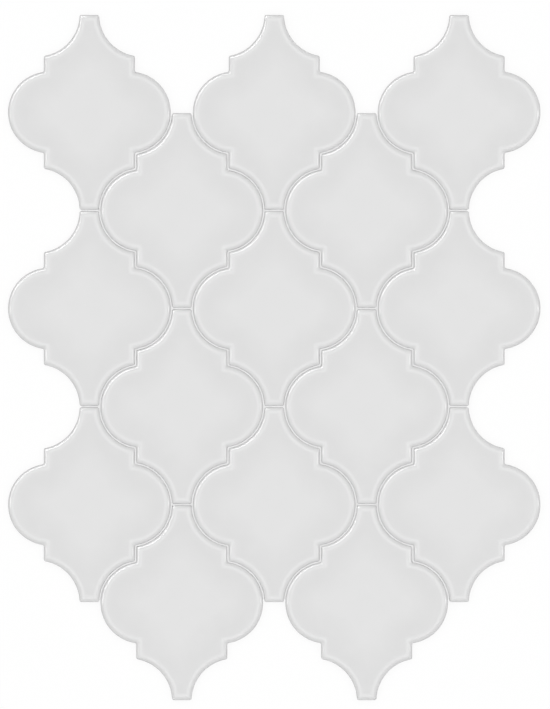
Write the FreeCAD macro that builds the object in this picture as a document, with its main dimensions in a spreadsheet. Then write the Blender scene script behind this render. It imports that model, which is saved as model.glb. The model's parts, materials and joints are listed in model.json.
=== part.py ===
"""A sheet of arabesque wall tiles: fifteen glazed ceramic tiles on a glass-fibre backing net.

The sheet lies flat with its glazed side up. X runs across the columns of tiles and Y along
their points. The origin is on the underside, in the middle of the sheet. Millimetres.
"""
import FreeCAD, Part
import os
import Sketcher

os.makedirs("parts", exist_ok=True)
doc = FreeCAD.newDocument("arabesque_sheet")

# The pattern: whole columns and rows of tiles on one sheet
COLUMNS = 5
ROWS = 3
ROUND_CUT_SIDES = 8

# Every size that can be set by itself
sizes = doc.addObject("Spreadsheet::Sheet", "sizes")
driving = [
    ("column_pitch", 43.4, "from one column of tiles to the next"),
    ("row_pitch", 92.1, "from one tile to the next in its column"),
    ("joint_width", 0.5, "open joint between two tiles"),
    ("lobe_radius", 19.2, "radius of the round lobes at a tile's sides"),
    ("lobe_offset", 19.05, "from the middle of a tile to the middle of its lobe"),
    ("tile_thickness", 7.6, "height of a tile at its face"),
    ("rim_width", 1.3, "plan width of the sloping rim round the face"),
    ("rim_drop", 1.3, "fall of the rim from the face to the side"),
    ("net_thickness", 0.4, "thickness of the backing net"),
    ("net_inset", 1.4, "how far the net stays inside the outline of the tiles"),
]
for row, (alias, number, note) in enumerate(driving, start=1):
    sizes.set("A%d" % row, note)
    sizes.set("B%d" % row, str(number))
    sizes.setAlias("B%d" % row, alias)
doc.recompute()

# What follows from the interlocking: a lobe sits in the hollow of a tile in the next column,
# with the joint all round it, so both arcs have one centre.
PANEL_WIDTH = "(sizes.column_pitch - sizes.joint_width)"
PANEL_LENGTH = "(sizes.row_pitch - sizes.joint_width)"
HOLLOW_X = "(sizes.column_pitch - sizes.lobe_offset)"
HOLLOW_Y = "(sizes.row_pitch / 2)"
HOLLOW_RADIUS = "(sizes.lobe_radius + sizes.joint_width)"
FACE = "sizes.tile_thickness"
RIM_FOOT = "(sizes.tile_thickness - sizes.rim_drop)"


def amount(formula):
    """The number that a formula of sheet sizes gives."""
    return float(sizes.evalExpression(formula))


def origin_plane(body, role):
    return next(f for f in body.Origin.OriginFeatures if f.Role == role)


def new_sketch(body, name, role, offset=None):
    """A sketch on an origin plane of its body, moved along x, y or z by formulas."""
    sketch = body.newObject("Sketcher::SketchObject", name)
    sketch.AttachmentSupport = [(origin_plane(body, role), "")]
    sketch.MapMode = "FlatFace"
    for axis, formula in (offset or {}).items():
        sketch.setExpression("AttachmentOffset.Base." + axis, formula)
    return sketch


def constrain(sketch, name, formula, kind, *geometry):
    """A dimension of the sketch, bound to the sheet."""
    number = sketch.addConstraint(Sketcher.Constraint(kind, *geometry, amount(formula)))
    sketch.renameConstraint(number, name)
    sketch.setExpression("Constraints." + name, formula)


def place_point(sketch, line, place, x, y, name):
    """Hold a point of the sketch by formulas from its origin. None puts it on that axis."""
    for formula, kind, axis in ((x, "DistanceX", -2), (y, "DistanceY", -1)):
        if formula:
            constrain(sketch, kind + name, formula, kind, -1, 1, line, place)
        else:
            sketch.addConstraint(Sketcher.Constraint("PointOnObject", line, place, axis))


def outline(sketch, corners):
    """A closed outline of straight lines through corners that are pairs of formulas."""
    points = [FreeCAD.Vector(amount(x or "0"), amount(y or "0"), 0) for x, y in corners]
    for start, end in zip(points, points[1:] + points[:1]):
        sketch.addGeometry(Part.LineSegment(start, end), False)
    for line, (x, y) in enumerate(corners):
        following = (line + 1) % len(corners)
        sketch.addConstraint(Sketcher.Constraint("Coincident", line, 2, following, 1))
        place_point(sketch, line, 1, x, y, str(line))


def rectangle(sketch, width, length):
    """A rectangle about the sketch's origin."""
    right, top = "(%s) / 2" % width, "(%s) / 2" % length
    left, bottom = "-" + right, "-" + top
    outline(sketch, [(left, bottom), (right, bottom), (right, top), (left, top)])


def pad(body, name, profile, length):
    feature = body.newObject("PartDesign::Pad", name)
    feature.Profile = profile
    feature.setExpression("Length", length)
    return feature


def cut_through(body, name, profile):
    """A pocket right through the body, to both sides of its profile."""
    feature = body.newObject("PartDesign::Pocket", name)
    feature.Profile = profile
    feature.Type = "ThroughAll"
    feature.Midplane = True
    return feature


def turned(body, kind, name, profile):
    """A revolution or groove about the upright axis through its profile's origin."""
    feature = body.newObject("PartDesign::" + kind, name)
    feature.Profile = profile
    feature.ReferenceAxis = (profile, ["V_Axis"])
    feature.Angle = 360
    return feature


def mirror_all(body, name, features, roles):
    """Repeat features on the other side of the origin planes with these roles."""
    repeat = body.newObject("PartDesign::MultiTransform", name)
    repeat.Originals = features
    mirrors = []
    for role in roles:
        mirror = body.newObject("PartDesign::Mirrored", name + "_" + role)
        mirror.MirrorPlane = (origin_plane(body, role), [""])
        mirrors.append(mirror)
    repeat.Transformations = mirrors
    body.Tip = repeat


def build_tile(label):
    """One tile about its own middle: a rimmed panel with four hollows and two turned lobes."""
    body = doc.addObject("PartDesign::Body", label)
    plan = new_sketch(body, "panel_plan", "XY_Plane")
    rectangle(plan, PANEL_WIDTH, PANEL_LENGTH)
    pad(body, "panel", plan, FACE)

    # the rim is a wedge cut off along the shoulders and across the points
    features = []
    for name, role, span in (("shoulder_rim", "XZ_Plane", PANEL_WIDTH),
                             ("point_rim", "YZ_Plane", PANEL_LENGTH)):
        wedge = new_sketch(body, name + "_wedge", role)
        side = span + " / 2"
        outline(wedge, [(side, RIM_FOOT), (side, FACE), (side + " - sizes.rim_width", FACE)])
        features.append(cut_through(body, name, wedge))

    # a hollow and its rim are turned about the middle of the neighbour's lobe
    hollow = new_sketch(body, "hollow_profile", "XZ_Plane", {"x": HOLLOW_X, "z": "-" + HOLLOW_Y})
    outline(hollow, [(None, None), (HOLLOW_RADIUS, None), (HOLLOW_RADIUS, RIM_FOOT),
                     (HOLLOW_RADIUS + " + sizes.rim_width", FACE), (None, FACE)])
    features.append(turned(body, "Groove", "hollow", hollow))
    mirror_all(body, "four_corners", features, ["XZ_Plane", "YZ_Plane"])

    # a lobe and its rim are turned about the lobe's own middle
    profile = new_sketch(body, "lobe_profile", "XZ_Plane", {"x": "sizes.lobe_offset"})
    outline(profile, [(None, None), ("sizes.lobe_radius", None), ("sizes.lobe_radius", RIM_FOOT),
                      ("sizes.lobe_radius - sizes.rim_width", FACE), (None, FACE)])
    lobe = turned(body, "Revolution", "lobe", profile)
    mirror_all(body, "two_lobes", [lobe], ["YZ_Plane"])
    return body


def prism(body, kind, name, x, y, circumradius):
    """An eight-sided prism on the body's underside, added to it or cut from it."""
    feature = body.newObject("PartDesign::%sPrism" % kind, name)
    feature.AttachmentSupport = [(origin_plane(body, "XY_Plane"), "")]
    feature.MapMode = "FlatFace"
    feature.Polygon = ROUND_CUT_SIDES
    feature.setExpression("Circumradius", circumradius)
    feature.setExpression("Height", "sizes.net_thickness")
    feature.setExpression("AttachmentOffset.Base.x", x)
    if y:
        feature.setExpression("AttachmentOffset.Base.y", y)
    return feature


def build_gap(label):
    """The room of a tile that the sheet lacks, with its joint and the inset of the net.

    The net is cut with short straight cuts, so the round parts are eight-sided here.
    """
    grown = "(sizes.joint_width + sizes.net_inset)"
    body = doc.addObject("PartDesign::Body", label)
    plan = new_sketch(body, "gap_plan", "XY_Plane")
    rectangle(plan, PANEL_WIDTH + " + 2 * " + grown, PANEL_LENGTH + " + 2 * " + grown)
    pad(body, "gap_panel", plan, "sizes.net_thickness")
    hollow = prism(body, "Subtractive", "gap_hollow", HOLLOW_X, HOLLOW_Y,
                   HOLLOW_RADIUS + " - " + grown)
    mirror_all(body, "gap_corners", [hollow], ["XZ_Plane", "YZ_Plane"])
    flat_out = "(sizes.lobe_radius + %s) / cos(180 deg / %d)" % (grown, ROUND_CUT_SIDES)
    lobe = prism(body, "Additive", "gap_lobe", "sizes.lobe_offset", None, flat_out)
    mirror_all(body, "gap_lobes", [lobe], ["YZ_Plane"])
    return body


def copy_of(original, label):
    """A clone of a body, which follows every change of the original."""
    body = doc.addObject("PartDesign::Body", label)
    clone = body.newObject("PartDesign::FeatureBase", label + "_clone")
    clone.BaseFeature = original
    body.Tip = clone
    return body


def place(piece, column, row):
    """Put a piece in its place of the pattern: every second column stands half a row lower."""
    columns_right = column - (COLUMNS - 1) / 2
    rows_up = (ROWS - 1) / 2 - row - (column % 2) / 2 + 1 / 4
    piece.setExpression("Placement.Base.x", "%s * sizes.column_pitch" % columns_right)
    piece.setExpression("Placement.Base.y", "%s * sizes.row_pitch" % rows_up)


# The tiles stand on the net. All follow the first one.
tiles = []
for column in range(COLUMNS):
    for row in range(ROWS):
        label = "tile_col%d_row%d" % (column + 1, row + 1)
        tile = copy_of(tiles[0], label) if tiles else build_tile(label)
        place(tile, column, row)
        tile.setExpression("Placement.Base.z", "sizes.net_thickness")
        tiles.append(tile)

# All round the sheet the pattern would go on with tiles that it lacks
gaps = []
for column in range(-1, COLUMNS + 1):
    for row in range(-1, ROWS + 1):
        if column in range(COLUMNS) and row in range(ROWS):
            continue
        label = "gap_%d" % len(gaps)
        gap = copy_of(gaps[0], label) if gaps else build_gap(label)
        place(gap, column, row)
        gaps.append(gap)

# The net is a plain rectangle inside the outermost lobes and points, cut clear of those gaps
blank = doc.addObject("Part::Box", "net_blank")
net_length = {
    "Length": "%d * sizes.column_pitch + 2 * (sizes.lobe_offset + sizes.lobe_radius)"
              " - 2 * sizes.net_inset" % (COLUMNS - 1),
    "Width": "%s * sizes.row_pitch - sizes.joint_width - 2 * sizes.net_inset" % (ROWS + 1 / 2),
}
for side, formula in net_length.items():
    blank.setExpression(side, formula)
blank.setExpression("Height", "sizes.net_thickness")
blank.setExpression("Placement.Base.x", "-net_blank.Length / 2")
blank.setExpression("Placement.Base.y", "-net_blank.Width / 2")
all_gaps = doc.addObject("Part::MultiFuse", "all_gaps")
all_gaps.Shapes = gaps
net = doc.addObject("Part::Cut", "backing_mesh")
net.Base = blank
net.Tool = all_gaps
net.Refine = True

doc.recompute()

for feature in doc.Objects:
    if "Invalid" in feature.State or "Error" in feature.State:
        raise RuntimeError("%s failed: %s" % (feature.Name, feature.State))
for piece in tiles + [net]:
    shape = piece.Shape
    if shape.isNull() or not shape.isValid() or len(shape.Solids) != 1:
        raise RuntimeError("%s is not one valid solid" % piece.Label)
for piece in tiles + [net]:
    piece.Shape.exportStep("parts/%s.step" % piece.Label)
    box = piece.Shape.BoundBox
    print("%s: %.2f x %.2f x %.2f mm, %.0f mm3" % (piece.Label, box.XLength, box.YLength,
                                                box.ZLength, piece.Shape.Volume))
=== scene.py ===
# %% [markdown]
# # A sheet of arabesque tiles
#
# Fifteen glazed tiles lie face up on a net of glass fibre. This script dresses the packed
# CAD model: it gives every tile its cushion rim and its glaze, fills the joints, weaves the
# net, and sets up the plain studio in which the sheet is photographed from straight above.
#
# Everything is in metres, in the CAD's own frame.

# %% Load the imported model
import json
import math

import bmesh
import bpy
from mathutils import Matrix, Vector
from mathutils.bvhtree import BVHTree
from mathutils.kdtree import KDTree

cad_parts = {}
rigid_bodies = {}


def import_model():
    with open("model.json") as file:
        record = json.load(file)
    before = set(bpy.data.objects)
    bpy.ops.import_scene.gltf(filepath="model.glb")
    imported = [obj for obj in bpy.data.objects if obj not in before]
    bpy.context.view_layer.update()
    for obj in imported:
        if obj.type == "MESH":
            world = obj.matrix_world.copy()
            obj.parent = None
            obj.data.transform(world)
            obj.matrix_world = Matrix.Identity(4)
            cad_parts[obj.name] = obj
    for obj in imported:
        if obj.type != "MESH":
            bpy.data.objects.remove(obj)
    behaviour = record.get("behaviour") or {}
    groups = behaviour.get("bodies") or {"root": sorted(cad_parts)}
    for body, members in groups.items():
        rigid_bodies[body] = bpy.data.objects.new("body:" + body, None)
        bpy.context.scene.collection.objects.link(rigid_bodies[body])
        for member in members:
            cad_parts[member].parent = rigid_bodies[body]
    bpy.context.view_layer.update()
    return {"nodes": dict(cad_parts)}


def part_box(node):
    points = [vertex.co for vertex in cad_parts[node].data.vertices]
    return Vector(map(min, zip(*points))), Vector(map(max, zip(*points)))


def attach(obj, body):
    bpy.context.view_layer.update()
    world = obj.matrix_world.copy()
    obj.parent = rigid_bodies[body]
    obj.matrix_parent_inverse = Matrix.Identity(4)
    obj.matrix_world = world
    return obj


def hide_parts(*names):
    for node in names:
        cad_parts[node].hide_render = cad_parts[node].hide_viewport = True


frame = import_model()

print("nodes in the frame:", len(frame["nodes"]))

# %% [markdown]
# ## Measure the pattern
#
# The tiles interlock: the round lobe of one sits in the hollow of the next, with the joint
# between them. So the whole outline follows from a few sizes. Most of them can be read off
# the boxes of the tiles, and only the lobe's radius is written here.
#
# The CAD model has joints of half a millimetre. They look a little wider in the photograph,
# because the glaze rounds the edges of the tiles. Every tile is therefore drawn a tenth of
# a millimetre inside its CAD outline. Taking that off the sizes once, here, keeps it out of
# all the drawing that follows.

# %% Sizes of the pattern
MM = 0.001
NEAR = 0.001 * MM
MERGE_DISTANCE = 10 * NEAR
COLUMNS = 5
ROWS = 3
SETBACK = 0.1 * MM
LOBE_RADIUS = 19.2 * MM - SETBACK


def tile_name(column, row):
    return "tile_col%d_row%d" % (column + 1, row + 1)


def middle(name):
    """The middle of a CAD node's box."""
    low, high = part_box(name)
    return (Vector(low) + Vector(high)) / 2


tile_low, tile_high = (Vector(corner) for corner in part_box(tile_name(0, 0)))
half_width = (tile_high.x - tile_low.x) / 2 - SETBACK
half_length = (tile_high.y - tile_low.y) / 2 - SETBACK
tile_foot, tile_top = tile_low.z, tile_high.z
column_pitch = middle(tile_name(1, 0)).x - middle(tile_name(0, 0)).x
row_pitch = middle(tile_name(0, 0)).y - middle(tile_name(0, 1)).y
joint = row_pitch - 2 * half_length
lobe_offset = half_width - LOBE_RADIUS
shoulder_x = (column_pitch - joint) / 2
hollow_centre = Vector((column_pitch - lobe_offset, row_pitch / 2, 0))
hollow_radius = LOBE_RADIUS + joint
print("tile %.1f by %.1f mm, joint %.2f mm"
      % (2 * half_width / MM, 2 * half_length / MM, joint / MM))

# %% [markdown]
# ## The tile's outline
#
# The real outline is all arcs, apart from a short straight shoulder between each lobe and
# its hollow. Its points could be worked out with sines and cosines. Here bmesh operators
# draw them instead: Spin carries a vertex round a centre and leaves a chain of edges, and a
# bevel of a vertex rounds a corner of the line.

# %% Tools for drawing a line
ARC_STEPS = 20
CORNER_RADIUS = 0.8 * MM
CORNER_STEPS = 3


def turn_from(centre, start, end):
    """The signed angle about a centre, seen from above, from one point to another."""
    return -(start - centre).xy.angle_signed((end - centre).xy)


def verts_in(geom):
    """The vertices among the things that a bmesh operator returns."""
    return [part for part in geom if isinstance(part, bmesh.types.BMVert)]


def spin_vertex(bm, vertex, centre, angle):
    """Carry a vertex round a centre, leaving a chain of edges, and return its end."""
    made = bmesh.ops.spin(bm, geom=[vertex], cent=centre, axis=(0, 0, 1), dvec=(0, 0, 0),
                          angle=angle, steps=ARC_STEPS, use_merge=False, use_duplicate=False)
    return verts_in(made["geom_last"])[0]


def round_corners(bm, corners):
    """Round corners of the plan while it is still a line."""
    bmesh.ops.bevel(bm, geom=corners, offset=CORNER_RADIUS, offset_type="OFFSET",
                    affect="VERTICES", segments=CORNER_STEPS, profile=0.5, material=-1)


bm = bmesh.new()
spin_vertex(bm, bm.verts.new((LOBE_RADIUS, 0, 0)), Vector(), math.pi / 2)
print("a trial arc:", len(bm.verts), "points")
bm.free()

# %% [markdown]
# One quarter of the outline is drawn. It starts as a single vertex at the end of the lobe.
# Spin carries that vertex round the lobe's centre, a short extrusion makes the straight
# shoulder, and a second spin, about the centre of the neighbour's lobe, makes the hollow.
# Drawing it this way keeps each arc a true arc with evenly spaced points. The same call
# draws the line again a little further in, which is what the rim needs.
#
# The straight shoulder is divided too, though its shape doesn't need it. Smooth shading
# blends the directions at the two ends of an edge along its whole length, so one long edge
# between two rounded corners would bend the reflections in the rim above it.

# %% Draw a quarter of the outline
SHOULDER_CUTS = 4


def draw_quarter(bm, inset=0.0):
    """The outline from the lobe's end, up and inwards, to the corner of the point."""
    lobe, hollow = LOBE_RADIUS - inset, hollow_radius + inset
    shoulder, end = shoulder_x - inset, half_length - inset
    lobe_centre = Vector((lobe_offset, 0, 0))
    lobe_end = Vector((shoulder, math.sqrt(lobe ** 2 - (shoulder - lobe_offset) ** 2), 0))
    shoulder_rise = math.sqrt(hollow ** 2 - (hollow_centre.x - shoulder) ** 2)
    shoulder_end = Vector((shoulder, hollow_centre.y - shoulder_rise, 0))
    point_reach = math.sqrt(hollow ** 2 - (hollow_centre.y - end) ** 2)
    point_corner = Vector((hollow_centre.x - point_reach, end, 0))

    vertex = bm.verts.new((half_width - inset, 0, 0))
    first = spin_vertex(bm, vertex, lobe_centre, turn_from(lobe_centre, vertex.co, lobe_end))
    second = bmesh.ops.extrude_vert_indiv(bm, verts=[first])["verts"][0]
    bmesh.ops.translate(bm, verts=[second], vec=shoulder_end - lobe_end)
    spin_vertex(bm, second, hollow_centre,
                turn_from(hollow_centre, shoulder_end, point_corner))
    round_corners(bm, [first, second])
    straight = max(bm.edges, key=lambda edge: edge.calc_length())
    bmesh.ops.subdivide_edges(bm, edges=[straight], cuts=SHOULDER_CUTS)
    return point_corner


bm = bmesh.new()
point_corner = draw_quarter(bm)
print("quarter outline:", len(bm.verts), "points, %.1f mm" %
      (sum(e.calc_length() for e in bm.edges) / MM))
bm.free()

# %% [markdown]
# The tile is the same to the left and the right, and to the top and the bottom. So two
# mirrors make the other three quarters, exactly alike, and one short edge across each point
# closes the outline.

# %% Close the outline


def draw_outline(bm, inset=0.0):
    """The closed outline of one tile about its own middle."""
    corner = draw_quarter(bm, inset)
    for axis in ("X", "Y"):
        bmesh.ops.mirror(bm, geom=bm.verts[:] + bm.edges[:], matrix=Matrix(),
                         merge_dist=MERGE_DISTANCE, axis=axis)
    corners = [v for v in bm.verts if abs(abs(v.co.y) - corner.y) < NEAR]
    for side in (1, -1):
        bmesh.ops.contextual_create(bm, geom=[v for v in corners if v.co.y * side > 0])
    round_corners(bm, corners)


bm = bmesh.new()
draw_outline(bm)
closed = all(len(vertex.link_edges) == 2 for vertex in bm.verts)
print("outline:", len(bm.verts), "points,", "closed" if closed else "open")
bm.free()

# %% [markdown]
# ## One tile
#
# The real tile is pressed from clay with a cushion edge, and the glaze softens it further.
# The tile is a stack of outlines, bridged one to the next: the foot, the foot of the rim,
# and then steps that follow a quarter of an ellipse up to the face. A bevel would be quicker
# to write, but it folds at the corners, where the rim is wider than the corner is round.

# %% Stack outlines into the body
RIM_WIDTH = 3.2 * MM
RIM_DROP = 1.55 * MM
RIM_STEPS = 8


def to_mesh(bm, name):
    """A mesh with what was drawn. The drawing itself is cleared away."""
    mesh = bpy.data.meshes.new(name)
    bm.to_mesh(mesh)
    bm.free()
    return mesh


def add_copy(bm, draw, height=0.0, place=Vector(), flip=1):
    """Draw something apart, then add it to a mesh at a place. Returns its edges."""
    part = bmesh.new()
    draw(part)
    bmesh.ops.scale(part, verts=part.verts[:], vec=(flip, 1, 1))
    bmesh.ops.translate(part, verts=part.verts[:], vec=place + Vector((0, 0, height)))
    mesh = to_mesh(part, "part")
    already = len(bm.edges)
    bm.from_mesh(mesh)
    bpy.data.meshes.remove(mesh)
    bm.edges.ensure_lookup_table()
    return bm.edges[already:]


def stack_body(bm):
    """The tile's foot, sides and rim. Returns the edges of the open top."""
    lower = add_copy(bm, draw_outline, tile_foot)
    bmesh.ops.contextual_create(bm, geom=lower)
    for step in range(RIM_STEPS + 1):
        turn = math.pi / 2 * step / RIM_STEPS
        inset = RIM_WIDTH * (1 - math.cos(turn))
        height = tile_top - RIM_DROP * (1 - math.sin(turn))
        upper = add_copy(bm, lambda part: draw_outline(part, inset), height)
        bmesh.ops.bridge_loops(bm, edges=lower + upper)
        lower = upper
    return upper


bm = bmesh.new()
top = stack_body(bm)
print("body:", len(bm.faces), "faces,", len(top), "edges round the face")
bm.free()

# %% [markdown]
# The face of a fired tile is never quite a plane: it stands a little higher in the middle.
# The left and right halves of the open top are bridged, and the rungs are subdivided, which
# gives rows of small faces. Every point is then lowered by the square of its distance from
# the middle, so the dome is smooth right over the rim.

# %% Dome the glazed face
DOME_FALL = 0.3 * MM
FACE_COLUMNS = 18


def fill_face_with_rows(bm, border):
    """Close the top with rows of faces from its left border to its right one."""
    sides = [e for e in border if abs(e.verts[0].co.x + e.verts[1].co.x) > NEAR]
    rows = set(bmesh.ops.bridge_loops(bm, edges=sides)["faces"])
    rungs = [e for e in {e for f in rows for e in f.edges} if rows.issuperset(e.link_faces)]
    bmesh.ops.subdivide_edges(bm, edges=rungs, cuts=FACE_COLUMNS, use_grid_fill=True)


def dome(bm):
    """Lower the face and the rim by the square of the distance from the middle."""
    for vertex in bm.verts:
        share = (vertex.co.z - tile_top + RIM_DROP) / RIM_DROP
        if share > 0:
            reach = vertex.co.xy.length / half_length
            vertex.co.z -= DOME_FALL * share * reach ** 2


def count_open_edges(bm):
    return sum(not edge.is_manifold for edge in bm.edges)


def make_tile_mesh():
    """One finished tile about its own middle."""
    bm = bmesh.new()
    fill_face_with_rows(bm, stack_body(bm))
    dome(bm)
    bmesh.ops.recalc_face_normals(bm, faces=bm.faces[:])
    print("tile:", len(bm.faces), "faces,", count_open_edges(bm), "open edges")
    return to_mesh(bm, "tile")


tile_mesh = make_tile_mesh()

# %% [markdown]
# Molten glaze creeps away from a rim, so it is thickest well inside the face. The face is
# painted whitest there, partly for that thicker glaze and partly as a painted sheen, with
# painted shade towards the rim.
# The mesh carries each point's distance from the rim as an attribute, and the glaze reads
# it. It is the mean distance to the nearest dozen points of the outline, because the single
# nearest one would make every corner of the outline show as a dent in the pale area.

# %% Write the distance from the rim
NEAREST_POINTS = 12


def find_outline_points():
    """A tree that finds the nearest points of the outline."""
    bm = bmesh.new()
    draw_outline(bm)
    tree = KDTree(len(bm.verts))
    for number, vertex in enumerate(bm.verts):
        tree.insert(vertex.co, number)
    tree.balance()
    bm.free()
    return tree


def distance_from_rim(tree, place):
    found = tree.find_n((place.x, place.y, 0), NEAREST_POINTS)
    return sum(distance for _, _, distance in found) / NEAREST_POINTS


outline_points = find_outline_points()
from_rim = tile_mesh.attributes.new("from_rim", "FLOAT", "POINT")
from_rim.data.foreach_set("value", [distance_from_rim(outline_points, v.co)
                                    for v in tile_mesh.vertices])
print("furthest from the rim: %.1f mm" % (max(d.value for d in from_rim.data) / MM))

# %% [markdown]
# ## Tools for the materials
#
# A material is a net of nodes. A picture of a real glaze could be wrapped round the tile
# instead, but a picture blurs close up, and nodes don't. These helpers each add one kind of
# node and join it up, so that a material reads like a recipe: take a noise, spread it over
# a range, mix two colours by it.
#
# A noise is given in features per metre. It runs from 0 to 1, but nearly all of it lies
# between 0.3 and 0.7, so that is the range that gets spread.

# %% Start a material, add a noise, spread its values
NOISE_RANGE = (0.3, 0.7)


def new_material(name, colour, roughness):
    """A material with its shader and the object's own coordinates."""
    material = bpy.data.materials.new(name)
    material.use_nodes = True
    nodes = material.node_tree.nodes
    shader = nodes["Principled BSDF"]
    shader.inputs["Base Color"].default_value = colour
    shader.inputs["Roughness"].default_value = roughness
    place = nodes.new("ShaderNodeTexCoord").outputs["Object"]
    return material, shader, place


def noise(material, place, scale, detail=3.0):
    """Noise at a scale in features per metre."""
    node = material.node_tree.nodes.new("ShaderNodeTexNoise")
    node.inputs["Scale"].default_value = scale
    node.inputs["Detail"].default_value = detail
    material.node_tree.links.new(place, node.inputs["Vector"])
    return node.outputs["Fac"]


def ramp(material, value, low, high, to_low=0.0, to_high=1.0):
    """Spread the values between low and high over the range from to_low to to_high."""
    node = material.node_tree.nodes.new("ShaderNodeMapRange")
    for name, number in (("From Min", low), ("From Max", high),
                         ("To Min", to_low), ("To Max", to_high)):
        node.inputs[name].default_value = number
    material.node_tree.links.new(value, node.inputs["Value"])
    return node.outputs["Result"]


print("materials so far:", len(bpy.data.materials))

# %% [markdown]
# Three more kinds of node do the rest: arithmetic on two values, a mix of two colours, and
# a bump, which tilts the light on a surface without moving it. The Mix node has a pair of
# sockets for each kind of value. Those for colours go by number, because their names repeat.

# %% Calculate, mix colours, add a bump
MIX_SHARE, MIX_FIRST, MIX_SECOND, MIX_RESULT = 0, 6, 7, 2


def calculate(material, operation, first, second):
    """One step of arithmetic on sockets or numbers."""
    node = material.node_tree.nodes.new("ShaderNodeMath")
    node.operation = operation
    for socket, value in zip(node.inputs, (first, second)):
        if isinstance(value, (int, float)):
            socket.default_value = value
        else:
            material.node_tree.links.new(value, socket)
    return node.outputs["Value"]


def mix_colour(material, share, first, second):
    """A colour between two others, which are sockets or plain colours."""
    node = material.node_tree.nodes.new("ShaderNodeMix")
    node.data_type = "RGBA"
    for number, value in ((MIX_SHARE, share), (MIX_FIRST, first), (MIX_SECOND, second)):
        socket = node.inputs[number]
        if isinstance(value, (tuple, float)):
            socket.default_value = value
        else:
            material.node_tree.links.new(value, socket)
    return node.outputs[MIX_RESULT]


def bump(material, shader, height, distance):
    """Raise and lower the surface by a height of 0 to 1 times a distance in metres."""
    node = material.node_tree.nodes.new("ShaderNodeBump")
    node.inputs["Distance"].default_value = distance
    material.node_tree.links.new(height, node.inputs["Height"])
    material.node_tree.links.new(node.outputs["Normal"], shader.inputs["Normal"])


print("helpers ready: calculate, mix_colour, bump")

# %% [markdown]
# ## Glaze and clay
#
# One material serves the whole tile. The glaze covers the face, the rim and most of the
# sides. It stops short of the foot, because a glazed foot would stick to the kiln shelf,
# and leaves a band of bare matt clay. The material finds that line from the height in
# object space, and a noise makes it wander as a dipped or sprayed edge does.
#
# The colour goes from the thin glaze to the thick one with the distance from the rim. It is
# partly the glaze's own colour and partly painted shade towards the rim and a painted sheen in
# the middle. A second noise moves that border in and out by up to two millimetres. A faint
# bump makes the surface ripple, as fired glaze does, so that no reflection in it is quite
# straight.

# %% Make the glaze
# Thick and thin glaze colours: partly the glaze, partly a painted sheen in the middle of the
# face and painted shade near the rim.
THICK_GLAZE_AND_SHEEN = (0.752, 0.752, 0.752, 1)
THIN_GLAZE_AND_SHADE = (0.716, 0.716, 0.716, 1)
LIGHT_CLAY = (0.70, 0.665, 0.61, 1)
DARK_CLAY = (0.63, 0.595, 0.54, 1)
GLAZE_EDGE = tile_foot + 1.7 * MM
EDGE_BLUR = 0.15 * MM
EDGE_WANDER, WANDER_NOISE = 0.9 * MM, 140
THIN_GLAZE_AND_SHADE_UNTIL, THICK_GLAZE_AND_SHEEN_FROM = 7.5 * MM, 17.5 * MM
CLOUD_REACH, CLOUD_NOISE = 2 * MM, 60
GRAIN_NOISE, GRAIN_RANGE = 2500, (0.35, 0.65)
GLOSSIEST, DULLEST, GLOSS_NOISE = 0.13, 0.19, 220
CLAY_DULLNESS = 0.7
RIPPLE_HEIGHT, RIPPLE_NOISE = 0.05 * MM, 90


def make_glaze():
    """Glaze above its wandering edge, bare clay below it."""
    material, shader, place = new_material("glazed_clay", THICK_GLAZE_AND_SHEEN, GLOSSIEST)
    nodes, links = material.node_tree.nodes, material.node_tree.links
    split = nodes.new("ShaderNodeSeparateXYZ")
    links.new(place, split.inputs["Vector"])
    wander = ramp(material, noise(material, place, WANDER_NOISE), 0, 1,
                  -EDGE_WANDER, EDGE_WANDER)
    height = calculate(material, "ADD", split.outputs["Z"], wander)
    glazed = ramp(material, height, GLAZE_EDGE - EDGE_BLUR, GLAZE_EDGE + EDGE_BLUR)
    distance = nodes.new("ShaderNodeAttribute")
    distance.attribute_name = "from_rim"
    clouds = ramp(material, noise(material, place, CLOUD_NOISE, detail=4), *NOISE_RANGE,
                  -CLOUD_REACH, CLOUD_REACH)
    clouded_distance = calculate(material, "ADD", distance.outputs["Fac"], clouds)
    # Painted shade and sheen together with the glaze: darker near the rim, lighter in the
    # middle of the face.
    thickness_and_shading = ramp(material, clouded_distance, THIN_GLAZE_AND_SHADE_UNTIL, THICK_GLAZE_AND_SHEEN_FROM)
    glaze = mix_colour(material, thickness_and_shading, THIN_GLAZE_AND_SHADE, THICK_GLAZE_AND_SHEEN)
    grains = ramp(material, noise(material, place, GRAIN_NOISE, detail=2), *GRAIN_RANGE)
    clay = mix_colour(material, grains, LIGHT_CLAY, DARK_CLAY)
    links.new(mix_colour(material, glazed, clay, glaze), shader.inputs["Base Color"])
    shine = ramp(material, noise(material, place, GLOSS_NOISE), *NOISE_RANGE,
                 GLOSSIEST, DULLEST)
    bare = calculate(material, "SUBTRACT", 1.0, glazed)
    dull = calculate(material, "MULTIPLY", bare, CLAY_DULLNESS)
    links.new(calculate(material, "ADD", shine, dull), shader.inputs["Roughness"])
    bump(material, shader, noise(material, place, RIPPLE_NOISE, detail=2), RIPPLE_HEIGHT)
    return material


glaze = make_glaze()
print("glaze:", len(glaze.node_tree.nodes), "nodes")

# %% [markdown]
# ## Lay the fifteen tiles
#
# Each tile of the sheet is a copy of the one mesh, moved to the middle of its CAD node.
# Fifteen objects could share one mesh, but then the clouds in the glaze would be the same
# on every tile. Here the place goes into the mesh and the object stays at the origin, so
# the glaze, which reads the object's coordinates, differs from tile to tile.

# %% Lay the tiles
SHARP_ANGLE = math.radians(40)


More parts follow.
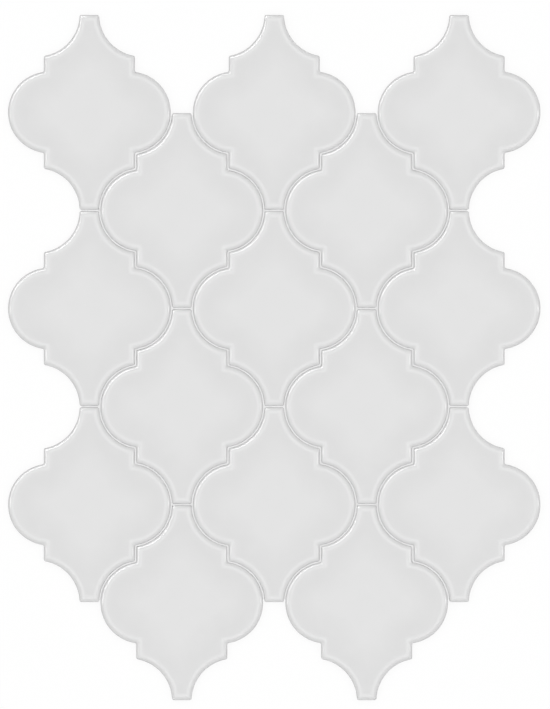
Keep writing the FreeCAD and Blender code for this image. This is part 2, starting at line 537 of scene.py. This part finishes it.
def lay(name, mesh, material, nodes):
    """Put a finished mesh in the scene in place of CAD nodes."""
    mesh.materials.append(material)
    mesh.shade_smooth()
    mesh.set_sharp_from_angle(angle=SHARP_ANGLE)
    piece = bpy.data.objects.new(name, mesh)
    bpy.context.scene.collection.objects.link(piece)
    if nodes:
        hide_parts(*nodes)
    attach(piece, "root")


centres = []
for column in range(COLUMNS):
    for row in range(ROWS):
        node = tile_name(column, row)
        place = middle(node)
        centres.append(Vector((place.x, place.y, 0)))
        mesh = tile_mesh.copy()
        mesh.transform(Matrix.Translation(centres[-1]))
        lay("glazed_" + node, mesh, glaze, [node])
print("tiles laid:", len(centres))

# %% [markdown]
# ## The joint filler
#
# The photograph shows pale joints with a dark line on either side: a light filler stands
# in them, a little below the faces. The filler between two neighbours is a ribbon from the
# quarter outline of one to the quarter outline of the other, which is the same line turned
# by half a turn about the point midway between the two tiles. Short strips close the gaps
# between the points of tiles in the same column.

# %% Draw one ribbon and one strip
FILLER_DEPTH = 0.9 * MM
FILLER_STOP = 1.5 * MM
half_step = Vector((column_pitch / 2, row_pitch / 4, 0))


def draw_ribbon(bm):
    """The joint between a tile at the origin and its neighbour at the upper right."""
    draw_quarter(bm)
    far_side = bmesh.ops.duplicate(bm, geom=bm.verts[:] + bm.edges[:])["geom"]
    bmesh.ops.rotate(bm, verts=verts_in(far_side), cent=half_step,
                     matrix=Matrix.Rotation(math.pi, 3, "Z"))
    bmesh.ops.bridge_loops(bm, edges=bm.edges[:])


def draw_strip(bm):
    """The joint between the points of two tiles in one column, with pointed ends."""
    bmesh.ops.create_grid(bm, x_segments=3, y_segments=1, size=joint / 2)
    outer = [v for v in bm.verts if abs(v.co.x) > joint / 4]
    for vertex in bm.verts:
        reach = point_corner.x - (0 if vertex in outer else FILLER_STOP - joint)
        vertex.co.x = math.copysign(reach, vertex.co.x)
    ends = [e for e in bm.edges if set(e.verts) <= set(outer) and e.calc_length() < 2 * joint]
    tips = bmesh.ops.bisect_edges(bm, edges=ends, cuts=1)["geom_split"]
    for tip in verts_in(tips):
        tip.co.x += math.copysign(joint, tip.co.x)


bm = bmesh.new()
draw_ribbon(bm)
print("ribbon:", len(bm.faces), "faces, %.1f mm2"
      % (sum(f.calc_area() for f in bm.faces) / MM ** 2))
bm.clear()
draw_strip(bm)
print("strip:", len(bm.faces), "faces, %.2f mm2"
      % (sum(f.calc_area() for f in bm.faces) / MM ** 2))
bm.free()

# %% [markdown]
# A ribbon is laid wherever two tiles are diagonal neighbours, mirrored for those that lean
# left, and a strip wherever one tile stands above another. Merging the doubles joins them
# into one lattice. The short edges still open after that are the ends of joints at the
# edge of the sheet, where the real filler stops short, so the faces there are taken off.
#
# An extrusion then gives the lattice its thickness. It leaves its new faces in an order that
# changes from run to run, so they are sorted, and the script makes the same mesh each time.

# %% Join the lattice


def has_tile_at(place):
    """Whether a tile's middle lies within a millimetre of a place."""
    return any((place - centre).length < MM for centre in centres)


def sort_faces(bm):
    """Put the faces in the order of their corners."""
    bm.verts.index_update()

    def rank(face):
        corners = sorted(vertex.index for vertex in face.verts)
        return sum(corner * len(bm.verts) ** place for place, corner in enumerate(corners))

    bm.faces.sort(key=rank)


def make_filler_mesh():
    lattice = bmesh.new()
    up, right = Vector((0, row_pitch, 0)), half_step * 2
    left = Vector((-right.x, right.y, 0))
    for centre in centres:
        if has_tile_at(centre + right):
            add_copy(lattice, draw_ribbon, place=centre)
        if has_tile_at(centre + left):
            add_copy(lattice, draw_ribbon, place=centre, flip=-1)
        if has_tile_at(centre + up):
            add_copy(lattice, draw_strip, place=centre + up / 2)
    bmesh.ops.remove_doubles(lattice, verts=lattice.verts[:], dist=MERGE_DISTANCE)
    free_ends = [f for f in lattice.faces if sum(e.is_boundary for e in f.edges) > 2]
    bmesh.ops.delete(lattice, geom=free_ends, context="FACES")
    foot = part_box("backing_mesh")[1][2]
    bmesh.ops.translate(lattice, verts=lattice.verts[:], vec=(0, 0, foot))
    raised = bmesh.ops.extrude_face_region(lattice, geom=lattice.faces[:])["geom"]
    bmesh.ops.translate(lattice, verts=verts_in(raised),
                        vec=(0, 0, tile_top - FILLER_DEPTH - foot))
    sort_faces(lattice)
    bmesh.ops.recalc_face_normals(lattice, faces=lattice.faces[:])
    print("filler:", len(free_ends), "free ends,", len(lattice.faces), "faces,",
          count_open_edges(lattice), "open edges")
    return to_mesh(lattice, "joint_filler")


filler_mesh = make_filler_mesh()

# %% [markdown]
# Joint filler is a fine cement with sand in it, so it is matt and its grains are a fraction
# of a millimetre. One noise gives both the specks and the bump, which keeps them together.
# The filler has no CAD node of its own, so it replaces nothing. It rides with the sheet.

# %% Lay the filler
LIGHT_SAND = (0.80, 0.80, 0.80, 1)
DARK_SAND = (0.76, 0.76, 0.76, 1)
SAND_HEIGHT, SAND_NOISE = 0.1 * MM, 1800


def make_filler_material():
    """Matt, pale and finely sandy."""
    material, shader, place = new_material("pale_filler", LIGHT_SAND, roughness=0.75)
    sand = noise(material, place, SAND_NOISE, detail=2)
    specks = mix_colour(material, ramp(material, sand, *NOISE_RANGE), LIGHT_SAND, DARK_SAND)
    material.node_tree.links.new(specks, shader.inputs["Base Color"])
    bump(material, shader, sand, SAND_HEIGHT)
    return material


lay("joint_filler", filler_mesh, make_filler_material(), [])
print("filler top: %.2f mm below the faces" % (FILLER_DEPTH / MM))

# %% [markdown]
# ## The backing net
#
# Mosaic tiles are held by a woven net of glass-fibre strands about five millimetres apart.
# It is cut to the scalloped shape of the CAD net. A woven sheet could be cut to that shape
# with a boolean, but that is slow on so many strands. Instead each strand is only as long as
# it should be: a ray sent along it through the CAD net finds where it starts and ends.

# %% Find where a strand runs


def net_surface():
    bm = bmesh.new()
    bm.from_mesh(frame["nodes"]["backing_mesh"].data)
    tree = BVHTree.FromBMesh(bm)
    bm.free()
    return tree


def stretches(tree, start, direction):
    """The stretches inside the net along a ray, as pairs of distances."""
    walls = []
    gone = 0.0
    while True:
        place, _, _, step = tree.ray_cast(start + direction * gone, direction)
        if place is None:
            return list(zip(walls[0::2], walls[1::2]))
        gone += step
        if not walls or gone - walls[-1] > MERGE_DISTANCE:
            walls.append(gone)
        gone += NEAR


net_low, net_high = (Vector(corner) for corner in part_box("backing_mesh"))
net_middle = (net_low.z + net_high.z) / 2
tree = net_surface()
ACROSS, ALONG = Vector((1, 0, 0)), Vector((0, 1, 0))
trial = stretches(tree, Vector((net_low.x - MM, MM, net_middle)), ACROSS)
print("net: %.1f by %.1f mm," % ((net_high.x - net_low.x) / MM, (net_high.y - net_low.y) / MM),
      "a strand across its middle: %.1f mm" % (sum(b - a for a, b in trial) / MM))

# %% [markdown]
# Each strand is one spline of a curve object with a bevel, which is the lightest way to
# make many thin tubes. The points of the spline lie at the crossings, and go up and down in
# turn, so that the strands pass over and under each other as they do in a weave.

# %% Weave the net
NET_PITCH = 5.0 * MM
STRAND_WIDTH = 0.9 * MM
STRAND_FLATNESS = 0.25
WEAVE_LIFT = 0.07 * MM


def lay_strand(curve, start, direction, stretch, first_over):
    """One strand as a spline whose points rise and fall at the crossings."""
    begin, end = stretch
    first, last = math.ceil(begin / NET_PITCH), math.floor(end / NET_PITCH)
    stops = [begin] + [k * NET_PITCH for k in range(first, last + 1)] + [end]
    spline = curve.splines.new("POLY")
    spline.points.add(len(stops) - 1)
    for point, stop in zip(spline.points, stops):
        over = 1 if (round(stop / NET_PITCH) + first_over) % 2 else -1
        place = start + direction * stop
        point.co = (place.x, place.y, over * WEAVE_LIFT / STRAND_FLATNESS, 1)


curve = bpy.data.curves.new("net", "CURVE")
curve.dimensions = "3D"
curve.bevel_depth = STRAND_WIDTH / 2
curve.bevel_resolution = 1
curve.use_fill_caps = True
across_count = math.floor(net_high.x / NET_PITCH)
along_count = math.floor(net_high.y / NET_PITCH)
outer_corner = Vector((-across_count - 1, -along_count - 1, 0)) * NET_PITCH
outer_corner.z = net_middle
for direction, sideways, count in ((ACROSS, ALONG, 2 * along_count),
                                   (ALONG, ACROSS, 2 * across_count)):
    for number in range(1, count + 2):
        start = outer_corner + sideways * number * NET_PITCH
        for stretch in stretches(tree, start, direction):
            lay_strand(curve, start, direction, stretch, number + int(direction.x))
print("strands:", len(curve.splines))

# %% [markdown]
# A curve can't be flattened, but a mesh can. The tubes are turned into a mesh, and that
# mesh is scaled to a fraction of its height about the middle of the net.

# %% Flatten the strands
curve_object = bpy.data.objects.new("net_curve", curve)
bpy.context.scene.collection.objects.link(curve_object)
net_mesh = bpy.data.meshes.new_from_object(curve_object)
bpy.data.objects.remove(curve_object)
bm = bmesh.new()
bm.from_mesh(net_mesh)
bmesh.ops.remove_doubles(bm, verts=bm.verts[:], dist=NEAR)
bmesh.ops.scale(bm, verts=bm.verts[:], vec=(1, 1, STRAND_FLATNESS))
bmesh.ops.translate(bm, verts=bm.verts[:], vec=(0, 0, net_middle))
bmesh.ops.recalc_face_normals(bm, faces=bm.faces[:])
print("net:", len(bm.faces), "faces,", count_open_edges(bm), "open edges,",
      "%.2f to %.2f mm high" % (min(v.co.z for v in bm.verts) / MM,
                                max(v.co.z for v in bm.verts) / MM))
bm.to_mesh(net_mesh)
bm.free()

# %% [markdown]
# The strands are bundles of glass fibre soaked in resin: off-white, with a dull sheen and
# streaks far finer than the strand. The finished net replaces the CAD net.

# %% Lay the net
LIGHT_FIBRE = (0.80, 0.80, 0.78, 1)
DARK_FIBRE = (0.62, 0.62, 0.60, 1)
STREAK_HEIGHT, STREAK_NOISE = 0.08 * MM, 3000


def make_fibre():
    """Glass fibre with fine streaks."""
    material, shader, place = new_material("glass_fibre", LIGHT_FIBRE, roughness=0.55)
    streaks = noise(material, place, STREAK_NOISE, detail=2)
    tint = mix_colour(material, streaks, LIGHT_FIBRE, DARK_FIBRE)
    material.node_tree.links.new(tint, shader.inputs["Base Color"])
    bump(material, shader, streaks, STREAK_HEIGHT)
    return material


lay("woven_net", net_mesh, make_fibre(), ["backing_mesh"])
print("net laid:", len(net_mesh.polygons), "faces")

# %% [markdown]
# ## The studio
#
# The sheet lies on a white sweep and is seen from straight above through a long lens, so
# that no tile shows its sides. The lens follows from how far away the camera is and how
# much of the sweep the picture takes in, at the height of the glazed faces.

# %% Set the camera
FRAME_HEIGHT = 0.3328
CAMERA_HEIGHT = 10.0
SENSOR_HEIGHT = 24
VIEW_CENTRE = Vector((0.36 * MM, 1.43 * MM, 0))


def add(name, data):
    """Put a camera, lamp or mesh in the scene."""
    thing = bpy.data.objects.new(name, data)
    bpy.context.scene.collection.objects.link(thing)
    return thing


camera_data = bpy.data.cameras.new("camera")
camera_data.sensor_fit = "VERTICAL"
camera_data.sensor_height = SENSOR_HEIGHT
camera_data.lens = SENSOR_HEIGHT * (CAMERA_HEIGHT - tile_top) / FRAME_HEIGHT
camera_data.clip_start = 0.1
camera_data.clip_end = 100
camera = add("camera", camera_data)
camera.location = (VIEW_CENTRE.x, VIEW_CENTRE.y, CAMERA_HEIGHT)
bpy.context.scene.camera = camera
print("lens: %.0f mm" % camera_data.lens)

# %% [markdown]
# The floor is two papers in one. To the camera it is nearly plain white and still takes the
# sheet's shadow. To every other ray it is grey, so that it doesn't throw light up at the
# sides of the tiles. Light Path's Is Camera Ray tells the two apart.

# %% Lay the floor
FLOOR_SIZE = 40.0
GREY_PAPER = (0.6, 0.6, 0.6, 1)
WHITE_PAPER = (0.95, 0.95, 0.95, 1)
PLAIN_WHITE = 0.9


def make_floor_material():
    """Grey paper, which the camera sees as nearly plain white with a faint shadow."""
    material = bpy.data.materials.new("paper")
    material.use_nodes = True
    nodes, links = material.node_tree.nodes, material.node_tree.links
    nodes.remove(nodes["Principled BSDF"])
    seen = nodes.new("ShaderNodeLightPath").outputs["Is Camera Ray"]
    paper = nodes.new("ShaderNodeBsdfDiffuse")
    links.new(mix_colour(material, seen, GREY_PAPER, WHITE_PAPER), paper.inputs["Color"])
    mixed = nodes.new("ShaderNodeMixShader")
    links.new(calculate(material, "MULTIPLY", seen, PLAIN_WHITE), mixed.inputs["Fac"])
    links.new(paper.outputs["BSDF"], mixed.inputs[1])
    links.new(nodes.new("ShaderNodeEmission").outputs["Emission"], mixed.inputs[2])
    links.new(mixed.outputs["Shader"], nodes["Material Output"].inputs["Surface"])
    return material


bm = bmesh.new()
bmesh.ops.create_grid(bm, x_segments=1, y_segments=1, size=FLOOR_SIZE / 2)
floor_mesh = to_mesh(bm, "floor")
floor_mesh.materials.append(make_floor_material())
add("floor", floor_mesh)
print("floor: %.0f m square" % FLOOR_SIZE)

# %% [markdown]
# A white surround lights the sheet evenly from all sides. It is brightest in a ring about
# the lens, as the lamps of a copy stand are. That ring is what draws the pale band along
# every rim, and the dim horizon below it is what darkens the steep edge outside the band.
#
# Each pair below is a height above the horizon, as the sine of its angle, and a brightness.
# A colour ramp holds values up to 1, so they are divided by one number there and multiplied
# by it again after the ramp. The camera itself sees the surround as a plain white backdrop.

# %% Light the studio evenly
RING = ((0.0, 0.40), (0.30, 0.42), (0.72, 0.50), (0.86, 1.30), (0.93, 2.90), (0.985, 2.30),
        (0.9965, 1.20), (1.0, 0.40))
RAMP_SCALE = 3.0
BACKDROP = 1.0


def make_surround():
    """A surround whose brightness follows the height of the ray above the horizon."""
    world = bpy.data.worlds.new("surround")
    bpy.context.scene.world = world
    world.use_nodes = True
    nodes, links = world.node_tree.nodes, world.node_tree.links
    background = nodes["Background"]
    split = nodes.new("ShaderNodeSeparateXYZ")
    links.new(nodes.new("ShaderNodeTexCoord").outputs["Generated"], split.inputs["Vector"])
    glow = nodes.new("ShaderNodeValToRGB")
    glow.color_ramp.interpolation = "EASE"
    stops = glow.color_ramp.elements
    while len(stops) < len(RING):
        stops.new(1.0)
    for stop, (height, strength) in zip(stops, RING):
        stop.position = height
        stop.color = [strength / RAMP_SCALE] * 3 + [1]
    links.new(split.outputs["Z"], glow.inputs["Fac"])
    scaled = calculate(world, "MULTIPLY", glow.outputs["Color"], RAMP_SCALE)
    rays = nodes.new("ShaderNodeLightPath")
    choose = nodes.new("ShaderNodeMix")
    links.new(rays.outputs["Is Camera Ray"], choose.inputs["Factor"])
    links.new(scaled, choose.inputs["A"])
    choose.inputs["B"].default_value = BACKDROP
    links.new(choose.outputs["Result"], background.inputs["Strength"])
    background.inputs["Color"].default_value = (1, 1, 1, 1)


make_surround()
print("surround: brightness", min(s for _, s in RING), "to", max(s for _, s in RING))

# %% [markdown]
# A white surround alone leaves a glaze looking dull. One softbox at the upper left and two
# narrow strips at the sides add only their reflections, the thin bright lines in the glaze.
# They are turned off for diffuse rays, so the evenness of the light stays as it is.
#
# All three hang in one narrow band of height. Taller lamps would draw the same lines, but a
# glazed face is a mirror when it is seen from the far side, and it would show them white in
# many more of the other views.

# %% Add the highlights
LAMP_DISTANCE = 3.0
LAMP_ELEVATION = math.radians(44)
LAMP_HEIGHT = 0.84


def add_softbox(name, azimuth, width, radiance):
    """A lamp that faces the sheet from one side and shows only in the glaze."""
    data = bpy.data.lights.new(name, "AREA")
    data.shape = "ELLIPSE"
    data.size = width
    data.size_y = LAMP_HEIGHT
    area = math.pi / 4 * width * LAMP_HEIGHT
    data.energy = radiance * math.pi * area
    box = add(name, data)
    level = Vector((LAMP_DISTANCE, 0, 0))
    raised = Matrix.Rotation(-LAMP_ELEVATION, 3, "Y") @ level
    box.location = Matrix.Rotation(azimuth, 3, "Z") @ raised
    box.rotation_euler = box.location.to_track_quat("Z", "Y").to_euler()
    box.visible_diffuse = False
    box.visible_camera = False
    print("%s: %.1f by %.2f m, %.0f W" % (name, width, LAMP_HEIGHT, data.energy))


add_softbox("upper_left", azimuth=math.radians(132), width=3.6, radiance=10.0)
add_softbox("left_strip", azimuth=math.pi, width=0.5, radiance=8.0)
add_softbox("right_strip", azimuth=0.0, width=0.4, radiance=7.5)

# %% [markdown]
# ## Finish
#
# The Standard view shows a colour as it is written, with no film look over it.

# %% Finish
bpy.context.scene.view_settings.view_transform = "Standard"
